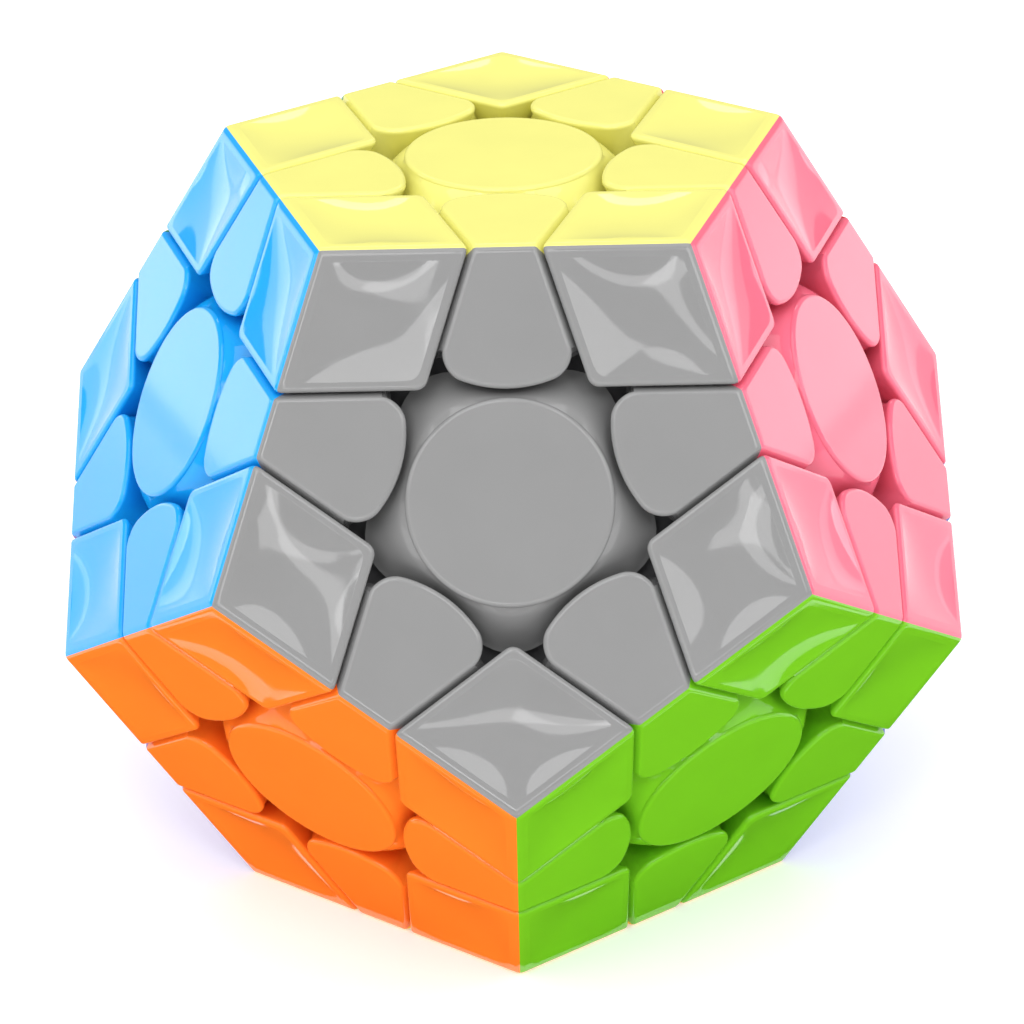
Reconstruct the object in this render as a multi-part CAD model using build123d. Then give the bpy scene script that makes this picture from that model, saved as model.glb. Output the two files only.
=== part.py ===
"""Dodecahedron twisty puzzle: twelve turning layers on a twelve-armed core.

The origin is the middle of the core, where all twelve turning axes meet, and +Z is up.
Every cut between two layers is a surface of revolution about the layer's own axis: a plane
outside the interlock sphere, a deeper plane inside it. Feet inside the sphere reach under
the neighbouring pieces, so nothing can fall out, and each centre is sprung on a screw.
"""
from build123d import *
import math
import os

# Driving dimensions, in millimetres
edge_length = 31.0          # edge of the dodecahedron
corner_side = 12.88         # length of a corner piece along that edge, to the middle of the gap
gap = 0.3                   # clearance between neighbouring pieces
wall = 1.5                  # wall of every coloured shell
tip_radius = 1.2            # inner tips of the corner pieces
edge_end_radius = 3.3       # inner end of the edge pieces
dish_border = 0.825         # from the hollow in a corner facet to the middle of the gap
dish_depth = 0.5
interlock_level = 0.4825    # where the sphere between the shells and the feet lies, from 0 at the
                            # inner tips of the corner shells to 1 at the faces
foot_undercut = 4.563       # how far the feet reach under the neighbouring shells
foot_thickness = 3.5
corner_stem_radius = 2.3
edge_stem_width = 8.0       # across the ridge
edge_stem_inset = 0.375     # from an edge's stem to each end of its foot's outer side
stem_height = 3.6           # how far a stem rises above the interlock sphere
disc_clearance = 0.167      # from the flat top of a centre to the neighbouring shells
skirt_flare = 1.55          # how much wider the skirt of a centre is at its bottom
waist_flare = 0.25          # share of that flare at half the skirt's height
cap_wall = 1.35             # from the edge of the flat top to the seat of the cap on its base
column_clearance = 0.15     # from the column of a centre to the feet round it
ball_radius = 9.0
arm_radius = 2.9
arm_overlap = 1.5           # how far an arm reaches past the bottom of its centre's column
arm_clearance = 0.2         # running clearance of a centre on its arm
shelf_thickness = 1.5       # floor of the spring well
well_clearance = 0.3        # from the washer to the wall of the spring well
screw_radius = 1.2
screw_bite = 10.5           # length of the screw inside the arm
head_radius = 2.6
head_height = 1.8
socket_radius = 1.0
washer_radius = 3.3
washer_thickness = 0.5
spring_length = 6.0
spring_turns = 5
wire_radius = 0.3
spring_clearance = 0.05     # from the outside of the spring to the edge of the washer
same_plane = 0.01           # largest distance between two planes that count as one

# Sizes worked out from them
golden = (1 + math.sqrt(5)) / 2
inradius = edge_length * golden**2 / (2 * math.sqrt(3 - golden))
axis_tilt = math.degrees(math.atan(2))
end_tilt = math.degrees(math.acos(1 / math.sqrt(5) / math.cos(math.atan(2) / 2)))   # of an edge's end faces
layer_depth = corner_side * math.sin(math.radians(108)) * math.sin(math.atan(2))
cut = inradius - layer_depth
half_gap = gap / 2
tip_distance = cut / math.sqrt((1 + 2 * math.cos(math.atan(2))) / 3)
interlock_radius = tip_distance + interlock_level * (inradius - tip_distance)
shell_floor = interlock_radius + half_gap
foot_top = interlock_radius - half_gap
foot_cut = cut - foot_undercut
big = 4 * edge_length


def room(depth, height, tilt):
    """Distance left beside a line, at a height, by layers cut at a depth and tilted from it."""
    angle = math.radians(tilt)
    return (depth - half_gap - height * math.cos(angle)) / math.sin(angle)


dish_radius = corner_side * math.sin(math.radians(72)) / 2 - dish_border
disc_radius = room(cut, inradius, axis_tilt) - disc_clearance
skirt_radius = disc_radius + skirt_flare
cap_bore_radius = disc_radius - cap_wall
column_radius = room(foot_cut, foot_top, axis_tilt) - column_clearance
edge_stem_length = 2 * (room(foot_cut, foot_top, end_tilt) - edge_stem_inset)
arm_length = foot_cut + arm_overlap
screw_reach = arm_length - screw_bite
well_radius = washer_radius + well_clearance

# Face colours: the top, the upper ring from the front to the right, the lower ring and the
# bottom. Each lower face is opposite the upper one at the same place in the list.
upper_names = ["cream", "grey", "pink", "red", "green", "sky"]
lower_names = ["yellow", "white", "purple", "orange", "lime", "blue"]


def tilted(azimuth):
    """Direction of a face that neighbours the +Z face, at an azimuth in degrees."""
    return Vector(0, 0, 1).rotate(Axis.Y, axis_tilt).rotate(Axis.Z, azimuth)


def face_directions():
    """Outward direction of each named face."""
    upper = [Vector(0, 0, 1)] + [tilted(72 * k - 90) for k in range(5)]
    faces = dict(zip(upper_names, upper))
    faces.update((name, -direction) for name, direction in zip(lower_names, upper))
    return faces


def neighbours(first, second):
    """True if two face directions share an edge of the dodecahedron."""
    return 0.4 < first.dot(second) < 0.9


def slab(direction, low, high):
    """Wide plate across a direction, between two distances from the origin."""
    plane = Plane(origin=direction * low, z_dir=direction)
    plate = Box(big, big, high - low, align=(Align.CENTER, Align.CENTER, Align.MIN))
    return plane.location * plate


def rod(direction, radius, low, high):
    """Round bar along a direction, between two distances from the origin."""
    plane = Plane(origin=direction * low, z_dir=direction)
    bar = Cylinder(radius, high - low, align=(Align.CENTER, Align.CENTER, Align.MIN))
    return plane.location * bar


def meet(solids):
    """Common part of several solids."""
    common = solids[0]
    for solid in solids[1:]:
        common = common & solid
    return common


def nearest_to(direction, others):
    """Space that lies nearer to one face direction than to the others."""
    return meet([slab((direction - other).normalized(), 0, big) for other in others])


def single(shape):
    """The one solid of a shape, and an error if it fell apart."""
    solids = shape.solids()
    if len(solids) != 1:
        raise ValueError(f"expected one solid, found {len(solids)}")
    return solids[0]


# Every piece is made once in a local frame: its first face is +Z, its second leans towards
# +X, and a corner's third is a fifth of a turn on from the second.
top = Vector(0, 0, 1)
side = tilted(0)
left = tilted(72)
right = tilted(-72)


def dish(direction, toward):
    """Ball that hollows a corner facet; toward points from the face's middle to the corner."""
    vertex_distance = edge_length / (2 * math.sin(math.radians(36)))
    offset = vertex_distance - corner_side * math.cos(math.radians(54))
    ball_size = (dish_radius**2 + dish_depth**2) / (2 * dish_depth)
    middle = direction * (inradius + ball_size - dish_depth) + toward * offset
    return Location(middle) * Sphere(ball_size)


def corner_shells():
    """Three coloured shells of a corner piece."""
    directions = [top, side, left]
    block = meet([slab(d, cut + half_gap, inradius) for d in directions])
    vertex = (top + side + left).normalized()
    inner = block.edges().sort_by(lambda e: (e @ 0.5).dot(vertex))[:3]
    block = fillet(inner, tip_radius) - Sphere(shell_floor)
    hollow = meet([slab(d, cut + half_gap + wall, inradius - wall) for d in directions])
    block = block - (hollow - Sphere(shell_floor + wall))
    block = block - rod(vertex, corner_stem_radius, foot_top, shell_floor + stem_height)
    shells = []
    for index, direction in enumerate(directions):
        others = [d for d in directions if d is not direction]
        across = (vertex - direction * vertex.dot(direction)).normalized()
        shell = block & nearest_to(direction, others)
        shells.append(single(shell - dish(direction, across)))
    return shells


def corner_foot():
    """Inner piece of a corner: a curved foot and the stem that carries the shells."""
    directions = [top, side, left]
    vertex = (top + side + left).normalized()
    plate = meet([slab(d, foot_cut + half_gap, big) for d in directions])
    plate = (plate & Sphere(foot_top)) - Sphere(foot_top - foot_thickness)
    stem = rod(vertex, corner_stem_radius, foot_top - foot_thickness / 2, shell_floor + stem_height)
    return single(plate + stem)


def edge_shells():
    """Two coloured shells of an edge piece."""
    ends = [slab(d, -big, cut - half_gap) for d in (left, right)]
    block = meet([slab(d, cut + half_gap, inradius) for d in (top, side)] + ends)
    inner = [e for e in block.edges() if is_end_corner(e)]
    block = fillet(inner, edge_end_radius) - Sphere(shell_floor)
    thin_ends = [slab(d, -big, cut - half_gap - wall) for d in (left, right)]
    hollow = meet([slab(d, cut + half_gap + wall, inradius - wall) for d in (top, side)] + thin_ends)
    block = block - (hollow - Sphere(shell_floor + wall))
    block = block - edge_stem()
    return [single(block & nearest_to(a, [b])) for a, b in ((top, side), (side, top))]


def edge_stem():
    """Bar from the middle of an edge's foot up into its shells."""
    low = foot_top - foot_thickness / 2
    high = shell_floor + stem_height
    plane = Plane(origin=(top + side).normalized() * low, x_dir=side - top, z_dir=top + side)
    upright = (Align.CENTER, Align.CENTER, Align.MIN)
    return plane.location * Box(edge_stem_width, edge_stem_length, high - low, align=upright)


def is_end_corner(edge):
    """True for an edge where an inner end wall of the block meets one of its sides."""
    middle = edge @ 0.5
    on_end = [abs(middle.dot(d) - cut - half_gap) < same_plane for d in (top, side)]
    on_side = [abs(middle.dot(d) - cut + half_gap) < same_plane for d in (left, right)]
    return sum(on_end) == 1 and sum(on_side) == 1


def edge_foot():
    """Inner piece of an edge: a curved foot and the stem that carries the shells."""
    ends = [slab(d, -big, foot_cut - half_gap) for d in (left, right)]
    plate = meet([slab(d, foot_cut + half_gap, big) for d in (top, side)] + ends)
    plate = (plate & Sphere(foot_top)) - Sphere(foot_top - foot_thickness)
    return single(plate + edge_stem())


def centre_cap():
    """Coloured cap of a centre piece: a flat disc with a flared skirt."""
    low = math.sqrt(shell_floor**2 - skirt_radius**2)
    waist = (disc_radius + waist_flare * skirt_flare, (inradius + low) / 2)
    profile = make_face(
        Polyline((disc_radius, inradius), (0, inradius), (0, low), (skirt_radius, low))
        + ThreePointArc((skirt_radius, low), waist, (disc_radius, inradius))
    )
    body = revolve(Plane.XZ * profile, Axis.Z) - Sphere(shell_floor)
    return single(body - rod(top, cap_bore_radius, 0, inradius - wall))


def centre_base():
    """Inner piece of a centre: a column on the core's arm, a spring well and a flange."""
    roof = inradius - wall
    body = rod(top, column_radius, foot_cut + half_gap, roof)
    body = body + (rod(top, cap_bore_radius, 0, roof) - Sphere(shell_floor))
    shelf = arm_length + gap
    body = body - rod(top, arm_radius + arm_clearance, 0, shelf)
    body = body - rod(top, screw_radius + gap, 0, roof)
    return single(body - rod(top, well_radius, shelf + shelf_thickness, roof))


spring_seat = arm_length + gap + shelf_thickness
washer_seat = spring_seat + spring_length
head_seat = washer_seat + washer_thickness


def core():
    """Ball with twelve arms, each drilled for a screw."""
    body = Sphere(ball_radius)
    for direction in face_directions().values():
        body = body + rod(direction, arm_radius, 0, arm_length)
    for direction in face_directions().values():
        body = body - rod(direction, screw_radius, screw_reach, arm_length + gap)
    return single(body)


def screw():
    """Screw along +Z with a hexagon socket in its head."""
    body = rod(top, screw_radius, screw_reach, head_seat)
    body = body + rod(top, head_radius, head_seat, head_seat + head_height)
    socket = extrude(RegularPolygon(socket_radius, 6), head_height)
    return single(body - Location((0, 0, head_seat + head_height / 2)) * socket)


def washer():
    """Washer between the spring and the screw's head."""
    return rod(top, washer_radius, washer_seat, head_seat) - rod(top, screw_radius + gap, 0, head_seat)


def spring():
    """Compression spring round the screw."""
    height = spring_length - 2 * wire_radius
    coil_radius = washer_radius - wire_radius - spring_clearance
    path = Helix(height / spring_turns, height, coil_radius)
    wire = sweep(Plane(origin=path @ 0, z_dir=path % 0) * Circle(wire_radius), path=path)
    return Location((0, 0, spring_seat + wire_radius)) * wire


def placed(shapes, first, second):
    """Copies of shapes moved from the local frame to two real face directions."""
    plane = Plane(origin=(0, 0, 0), x_dir=second - first * first.dot(second), z_dir=first)
    return [plane.location * shape for shape in shapes]


def on_every_axis(shapes):
    """Copies of shapes on each of the twelve axes."""
    faces = list(face_directions().values())
    copies = []
    for direction in faces:
        beside = next(other for other in faces if neighbours(direction, other))
        copies += placed(shapes, direction, beside)
    return copies


def save(name, shapes):
    """Write one node."""
    export_step(Compound(children=list(shapes)), f"parts/{name}.step")


def main():
    """Write every node of the puzzle."""
    os.makedirs("parts", exist_ok=True)
    faces = face_directions()
    names = list(faces)
    save("core", [core()])
    save("centre_screws", on_every_axis([screw(), washer()]))
    save("centre_springs", on_every_axis([spring()]))
    centre_piece = [centre_cap(), centre_base()]
    edge_piece = edge_shells() + [edge_foot()]
    corner_piece = corner_shells() + [corner_foot()]
    bottom = faces["yellow"]
    for name, direction in faces.items():
        beside = next(other for other in faces.values() if neighbours(direction, other))
        pieces = placed(centre_piece, direction, beside)
        node = f"centre_{name}"
        if neighbours(direction, bottom):
            # the bottom layer stands still, so this centre and its bottom edge always move together
            pieces += placed(edge_piece, direction, bottom)
            node += "_with_bottom_edge"
        save(node, pieces)
    for i, first in enumerate(names):
        for second in names[i + 1:]:
            a, b = faces[first], faces[second]
            if neighbours(a, b) and "yellow" not in (first, second):
                save(f"edge_{first}_{second}", placed(edge_piece, a, b))
            for third in names[names.index(second) + 1:]:
                c = faces[third]
                if neighbours(a, b) and neighbours(b, c) and neighbours(a, c):
                    follows = a.cross(b).dot(c) > 0
                    save(f"corner_{first}_{second}_{third}", placed(corner_piece, a, b if follows else c))


if __name__ == "__main__":
    main()
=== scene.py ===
"""Dodecahedron twisty puzzle: twelve turning layers of dished corners, flat edges and round
centres, in glossy moulded plastic on a sprung core.

Everything is in metres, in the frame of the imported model: the origin is the middle of the
core and +Z is up. Each kind of piece is made once in its own local frame, in which its first
face looks along +Z and its second face leans towards +X, and is then copied to every place.
"""

import math
from collections import namedtuple

import bmesh
import bpy
import numpy as np
from bpy.props import (FloatProperty, FloatVectorProperty, IntProperty, PointerProperty,
                       StringProperty)
from mathutils import Matrix, Vector


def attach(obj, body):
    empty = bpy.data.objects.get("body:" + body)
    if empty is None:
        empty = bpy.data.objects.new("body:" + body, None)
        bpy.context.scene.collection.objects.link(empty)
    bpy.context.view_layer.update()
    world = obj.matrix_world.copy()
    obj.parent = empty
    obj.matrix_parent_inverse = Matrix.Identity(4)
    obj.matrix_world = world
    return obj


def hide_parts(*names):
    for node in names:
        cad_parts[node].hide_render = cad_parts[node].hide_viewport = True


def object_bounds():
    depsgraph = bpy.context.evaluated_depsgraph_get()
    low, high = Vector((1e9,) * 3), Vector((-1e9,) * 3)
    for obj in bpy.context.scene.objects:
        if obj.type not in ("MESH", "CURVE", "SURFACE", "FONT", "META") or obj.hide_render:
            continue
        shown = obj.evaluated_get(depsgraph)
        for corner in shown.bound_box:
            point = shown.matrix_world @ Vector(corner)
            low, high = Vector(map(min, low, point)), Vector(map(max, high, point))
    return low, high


bl_info = {
    "name": "Dodecahedron twisty puzzle",
    "version": (1, 0, 0),
    "blender": (4, 5, 0),
    "location": "View3D > Sidebar > Puzzle",
    "description": "Twisty puzzle with dished corners, flat edges, round centres and a sprung core",
    "category": "Object",
}

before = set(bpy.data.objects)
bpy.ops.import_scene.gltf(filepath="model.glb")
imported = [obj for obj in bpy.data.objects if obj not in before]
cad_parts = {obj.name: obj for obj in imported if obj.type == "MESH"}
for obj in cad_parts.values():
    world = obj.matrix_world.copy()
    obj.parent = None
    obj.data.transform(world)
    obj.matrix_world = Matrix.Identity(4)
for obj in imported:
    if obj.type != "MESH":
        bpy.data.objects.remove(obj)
cad_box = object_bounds()

MM = 0.001

# The solid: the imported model's own size gives the distance of a face from the middle
GOLDEN = (1 + math.sqrt(5)) / 2
INRADIUS = float(cad_box[1][2])
AXIS_TILT = math.atan(2)                       # angle between two neighbouring axes
HALF_FOLD = (math.pi - 2 * math.atan(GOLDEN)) / 2   # half the turn from one face to the next
FIFTH = math.radians(72)
FACE_CORNER = math.radians(108)                # angle at a face's corners
RIDGE_DISTANCE = INRADIUS * math.tan(HALF_FOLD)     # from a face's middle to its edges

UPPER = ["cream", "grey", "pink", "red", "green", "sky"]
LOWER = ["yellow", "white", "purple", "orange", "lime", "blue"]
ROOT_BODY = "core_and_bottom_centre"
UP = np.array([0.0, 0.0, 1.0])

# Roundings too small to be settings
BAND = 0.12 * MM            # narrow ring of faces inside the border of a flat facet
FOOT_BEVEL = 0.12 * MM      # eased border of a foot
FOOT_BEVEL_ANGLE = math.radians(40)     # sharper edges of a foot are eased
ARM_PLAY = 0.3 * MM         # between a base's shelf and the end of the core's arm

# Rings of the facets, as shares of the way
FLAT_RINGS = (0, 0.35, 0.7)                 # from the border of a flat facet to its middle
RIM_RING = 0.25                             # from the border of a dished facet to its hollow
HOLLOW_RINGS = np.linspace(0.96, 0.08, 16)  # from the middle of a hollow to its border
HOLLOW_REACH = 9 * MM                       # about that whole way
WALL_EASE = 4               # power with which an edge's wall leans over round its inner end
JOINT_TOP = 0.06            # share of a joint's height that all but its last points take up

SKEW = np.array([0.3, 0.9, 0.1])            # a direction that is along no foot's axis
ICOSPHERE_TURN = math.radians(-18)          # Blender's icosphere about +Z, to this frame
LOBES = 5.0                 # of a centre's skirt, one towards each corner piece
LOBE_FLARE = 0.6            # power of the depth with which the lobes swell
ABS_IOR = 1.54


# ---------------------------------------------------------------- directions and places

def unit(vector):
    """Vector of length 1."""
    vector = np.asarray(vector, float)
    return vector / np.linalg.norm(vector)


def tilted(azimuth):
    """Direction of a face beside the +Z face, at an azimuth in radians."""
    return np.array([math.sin(AXIS_TILT) * math.cos(azimuth),
                     math.sin(AXIS_TILT) * math.sin(azimuth),
                     math.cos(AXIS_TILT)])


def face_directions():
    """Outward direction of each named face."""
    upper = [UP] + [tilted(FIFTH * k - math.pi / 2) for k in range(5)]
    faces = dict(zip(UPPER, upper))
    faces.update((name, -direction) for name, direction in zip(LOWER, upper))
    return faces


FACES = face_directions()
SIDE, LEFT, RIGHT = tilted(0), tilted(FIFTH), tilted(-FIFTH)


def are_neighbours(first, second):
    """True if two named faces share an edge of the solid."""
    return math.isclose(FACES[first] @ FACES[second], math.cos(AXIS_TILT), rel_tol=1e-6)


def local_to_place(first, second):
    """Matrix that carries the local frame to two face directions."""
    x_axis = unit(second - first * (first @ second))
    rows = np.column_stack([x_axis, np.cross(first, x_axis), first])
    return Matrix(rows.tolist()).to_4x4()


def centre_homes():
    """(face, node, body) of every centre piece."""
    for name in UPPER + LOWER:
        if name == "yellow":
            yield name, "centre_yellow", ROOT_BODY
        elif are_neighbours(name, "yellow"):
            yield name, f"centre_{name}_with_bottom_edge", f"{name}_centre"
        else:
            yield name, f"centre_{name}", f"{name}_centre"


def axis_turn(name):
    """Euler angles that lean +Z along a face's axis, with +X towards a neighbouring axis."""
    beside = next(other for other in FACES if are_neighbours(name, other))
    return tuple(local_to_place(FACES[name], FACES[beside]).to_euler())


def edge_homes():
    """(two faces, node, body) of every edge piece."""
    names = UPPER + LOWER
    for index, first in enumerate(names):
        for second in names[index + 1:]:
            if not are_neighbours(first, second):
                continue
            if "yellow" in (first, second):
                other = second if first == "yellow" else first
                yield (other, "yellow"), f"centre_{other}_with_bottom_edge", f"{other}_centre"
            else:
                node = f"edge_{first}_{second}"
                yield (first, second), node, f"{node}_piece"


def corner_homes():
    """(three faces, anticlockwise seen from outside, node, body) of every corner piece."""
    names = UPPER + LOWER
    for i, first in enumerate(names):
        for j in range(i + 1, len(names)):
            for third in names[j + 1:]:
                trio = (first, names[j], third)
                if not all(are_neighbours(a, b) for a, b in zip(trio, trio[1:] + trio[:1])):
                    continue
                node = "corner_" + "_".join(trio)
                if np.cross(FACES[trio[0]], FACES[trio[1]]) @ FACES[trio[2]] < 0:
                    trio = (trio[0], trio[2], trio[1])
                yield trio, node, f"{node}_piece"


# ---------------------------------------------------------------- materials

def linear(hex_colour):
    """Linear colour, with alpha, of an sRGB hex value."""
    channels = [int(hex_colour[i:i + 2], 16) / 255 for i in (0, 2, 4)]
    return [c / 12.92 if c <= 0.04045 else ((c + 0.055) / 1.055) ** 2.4 for c in channels] + [1.0]


def add_node(tree, kind, inputs=None, **settings):
    """Add a node; inputs maps a socket's name or number to a value or another node's output."""
    node = tree.nodes.new(kind)
    for name, value in settings.items():
        setattr(node, name, value)
    for key, value in (inputs or {}).items():
        if isinstance(value, bpy.types.NodeSocket):
            tree.links.new(value, node.inputs[key])
        else:
            node.inputs[key].default_value = value
    return node


def new_material(name):
    """Empty material, its tree and its object coordinates."""
    material = bpy.data.materials.new(name)
    material.use_nodes = True
    material.node_tree.nodes.clear()
    place = add_node(material.node_tree, "ShaderNodeTexCoord")
    return material, material.node_tree, place.outputs["Object"]


def noise(tree, place, size, detail, roughness=0.5, distortion=0.0):
    """Noise with features of the given size."""
    return add_node(tree, "ShaderNodeTexNoise",
                    {"Vector": place, "Scale": 1 / size, "Detail": detail,
                     "Roughness": roughness, "Distortion": distortion}).outputs["Fac"]


def ranged(tree, value, low, high, start=0.3, end=0.7):
    """Value that goes from low to high while another goes from start to end."""
    return add_node(tree, "ShaderNodeMapRange",
                    {"Value": value, "From Min": start, "From Max": end,
                     "To Min": low, "To Max": high}).outputs["Result"]


def mottled(tree, hex_colour, place, size, detail, darkest):
    """Colour that noise darkens here and there, down to a share of it."""
    shade = ranged(tree, noise(tree, place, size, detail), darkest, 1.0)
    return add_node(tree, "ShaderNodeMix", {"Factor": 1.0, 6: linear(hex_colour), 7: shade},
                    data_type="RGBA", blend_type="MULTIPLY").outputs[2]


def relief(tree, height, strength, distance):
    """Normal of a surface with fine bumps."""
    return add_node(tree, "ShaderNodeBump", {"Height": height, "Strength": strength,
                                             "Distance": distance}).outputs["Normal"]


def finished(material, inputs):
    """Material with one principled shader, which has these inputs."""
    tree = material.node_tree
    shader = add_node(tree, "ShaderNodeBsdfPrincipled", inputs)
    add_node(tree, "ShaderNodeOutputMaterial", {"Surface": shader.outputs["BSDF"]})
    return material


def polished_abs(name, hex_colour, finish):
    """ABS, injection-moulded in a polished steel mould and coloured right through.

    To the eye: an even, strong colour with a tight clear gloss. The mould leaves a faint
    ripple a few tenths of a millimetre across, the flow of the plastic makes the shade wander
    over some millimetres, and fine handling scratches dull the gloss very slightly.
    """
    material, tree, place = new_material(name)
    colour = mottled(tree, hex_colour, place, finish.flow_size, 2.0, 0.965)
    scratches = noise(tree, place, finish.scratch_size, 3.0, 0.6, 1.5)
    gloss = ranged(tree, scratches, finish.roughness, finish.roughness + 0.03, 0.35, 0.75)
    ripple = noise(tree, place, finish.ripple_size, 1.0, 0.4)
    normal = relief(tree, ripple, 0.12, finish.ripple_depth)
    return finished(material, {"Base Color": colour, "Roughness": gloss, "Normal": normal,
                               "IOR": ABS_IOR, "Specular IOR Level": 0.33})


def satin_abs(name, hex_colour, finish):
    """ABS, injection-moulded in a fine-eroded mould, self-coloured.

    To the eye: a soft, even sheen with a fine grain of about a quarter of a millimetre.
    """
    material, tree, place = new_material(name)
    grain = noise(tree, place, finish.grain_size, 2.0, 0.6)
    colour = mottled(tree, hex_colour, place, finish.flow_size, 2.0, 0.9)
    gloss = ranged(tree, grain, 0.36, 0.46)
    normal = relief(tree, grain, 0.3, finish.grain_depth)
    return finished(material, {"Base Color": colour, "Roughness": gloss, "Normal": normal,
                               "IOR": ABS_IOR})


def plated_steel(name, hex_colour, finish):
    """Carbon steel, turned and zinc-plated: a bluish grey metal with a fine mottled bloom."""
    material, tree, place = new_material(name)
    bloom = noise(tree, place, finish.bloom_size, 4.0)
    gloss = ranged(tree, bloom, 0.25, 0.42)
    normal = relief(tree, bloom, 0.15, 0.02 * MM)
    return finished(material, {"Base Color": linear(hex_colour), "Roughness": gloss,
                               "Normal": normal, "Metallic": 1.0})


def drawn_steel(name, hex_colour, finish):
    """Spring steel wire, cold drawn: a darker bright metal with fine die marks."""
    material, tree, place = new_material(name)
    gloss = ranged(tree, noise(tree, place, finish.die_mark_size, 2.0), 0.2, 0.32)
    return finished(material, {"Base Color": linear(hex_colour), "Roughness": gloss,
                               "Metallic": 1.0})


def opal_acrylic(name, hex_colour):
    """Opal acrylic sheet, matt, lit a little from below: plain white, with a very slight mottle."""
    material, tree, place = new_material(name)
    colour = mottled(tree, hex_colour, place, 8 * MM, 3.0, 0.995)
    return finished(material, {"Base Color": colour, "Roughness": 0.9,
                               "Emission Color": (1.0, 1.0, 1.0, 1.0),
                               "Emission Strength": 0.22})


def black_felt(name):
    """Wool felt, dyed black: no gloss, and next to no light comes back from it."""
    material = new_material(name)[0]
    return finished(material, {"Base Color": linear("1C1C1C"), "Roughness": 1.0,
                               "Specular IOR Level": 0.0})


def made_once(title, make, *details):
    """Material with a title, made the first time that it is asked for."""
    return bpy.data.materials.get(title) or make(title, *details)


def colour_finish(name):
    """The polished ABS of a face's colour."""
    finish = bpy.context.scene.puzzle_finish
    return made_once(f"{name}_polished_abs", polished_abs, getattr(finish, name), finish)


def inner_finish():
    """The satin ABS of the inner pieces."""
    finish = bpy.context.scene.puzzle_finish
    return made_once("inner_satin_abs", satin_abs, finish.inner, finish)


# ---------------------------------------------------------------- mesh helpers

def turned(start, end, steps):
    """Directions that turn evenly from one unit vector to another."""
    angle = math.acos(np.clip(start @ end, -1, 1))
    shares = np.linspace(0, 1, steps + 1)
    return [(math.sin((1 - t) * angle) * start + math.sin(t * angle) * end) / math.sin(angle)
            for t in shares]


def down_to_sphere(point, direction, radius):
    """Where a line from a point first meets a sphere about the origin."""
    along = point @ direction
    return point + direction * (-along - math.sqrt(along**2 - point @ point + radius**2))


def sphere_height(radius, distance):
    """Height of a sphere about the origin, at a distance from the +Z axis."""
    return math.sqrt(radius**2 - distance**2)


class Skin:
    """Points and faces gathered patch by patch, and sewn into one closed mesh."""

    def __init__(self):
        self.points, self.faces = [], []

    def patch(self, rows, closed=False):
        """Quads between rows of points; a closed patch joins each row's end to its start."""
        first, count = len(self.points), len(rows[0])
        for row in rows:
            self.points.extend(row)
        for r in range(len(rows) - 1):
            for i in range(count if closed else count - 1):
                a, b = first + r * count + i, first + r * count + (i + 1) % count
                self.faces.append((a, b, b + count, a + count))

    def fan(self, row, middle):
        """Triangles from a closed row to a point."""
        first, count = len(self.points), len(row)
        self.points.extend(list(row) + [middle])
        for i in range(count):
            self.faces.append((first + i, first + (i + 1) % count, first + count))

    def sewn(self, name):
        """One closed mesh, with its faces outwards."""
        mesh = bpy.data.meshes.new(name)
        mesh.from_pydata([tuple(p) for p in self.points], [], self.faces)
        return closed_mesh(mesh)


def closed_mesh(mesh, weld=0.0005 * MM, sharp=math.radians(35)):
    """Weld a mesh, turn its faces outwards and smooth it up to its sharp edges."""
    work = bmesh.new()
    work.from_mesh(mesh)
    bmesh.ops.remove_doubles(work, verts=work.verts, dist=weld)
    bmesh.ops.dissolve_degenerate(work, edges=work.edges, dist=weld)
    bmesh.ops.recalc_face_normals(work, faces=work.faces)
    open_edges = sum(not edge.is_manifold for edge in work.edges)
    if open_edges:
        raise RuntimeError(f"{mesh.name} has {open_edges} edges that don't join two faces")
    if work.calc_volume(signed=True) < 0:
        bmesh.ops.reverse_faces(work, faces=work.faces)
    work.to_mesh(mesh)
    work.free()
    mesh.shade_smooth()
    mesh.set_sharp_from_angle(angle=sharp)
    return mesh


def new_object(name, data):
    """Object with its data, linked to the scene."""
    made = bpy.data.objects.new(name, data)
    bpy.context.scene.collection.objects.link(made)
    return made


def place_piece(name, mesh, material, node, body, matrix=None):
    """Finished piece: its place goes into its mesh, and it rides on its body."""
    mesh = mesh.copy()
    mesh.name = name
    if matrix is not None:
        mesh.transform(matrix)
    mesh.materials.clear()
    mesh.materials.append(material)
    piece = new_object(name, mesh)
    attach(piece, body)
    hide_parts(node)


# ---------------------------------------------------------------- facets of the shells

# A station is one place along the rounded border between a facet and its walls: the middle
# of the rounding, and the directions of the facet and of the wall there
Station = namedtuple("Station", "middle facet wall")


def ridge_strip(start, along, ridge_normal, wall, wall_offset, sizes):
    """Stations across a rounded ridge at its end, from the colour joint to the flat facet.

    start is the middle of the ridge's rounding and along runs from there to the ridge's end.
    Also gives the distance of each station along the ridge.
    """
    stations, reaches = [], []
    for j in range(sizes.ridge_steps + 1):
        turn = HALF_FOLD * (1 - j / sizes.ridge_steps)
        facet = ridge_normal * math.sin(turn) + UP * math.cos(turn)
        offset = (sizes.ridge_radius - sizes.border_radius) * facet
        reach = (wall_offset - sizes.border_radius - wall @ (start + offset)) / (wall @ along)
        stations.append(Station(start + along * reach + offset, facet, wall))
        reaches.append(reach)
    return stations, reaches


def between(first, last, count):
    """Stations on a straight wall, between two that are already there."""
    return [Station(first.middle + (last.middle - first.middle) * k / (count + 1),
                    first.facet, first.wall) for k in range(1, count + 1)]


def border_point(station, sizes):
    """Where the rounding of the border meets the facet."""
    return station.middle + sizes.border_radius * station.facet


def wall_top(station, sizes):
    """Where the rounding of the border meets the wall."""
    return station.middle + sizes.border_radius * station.wall


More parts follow.
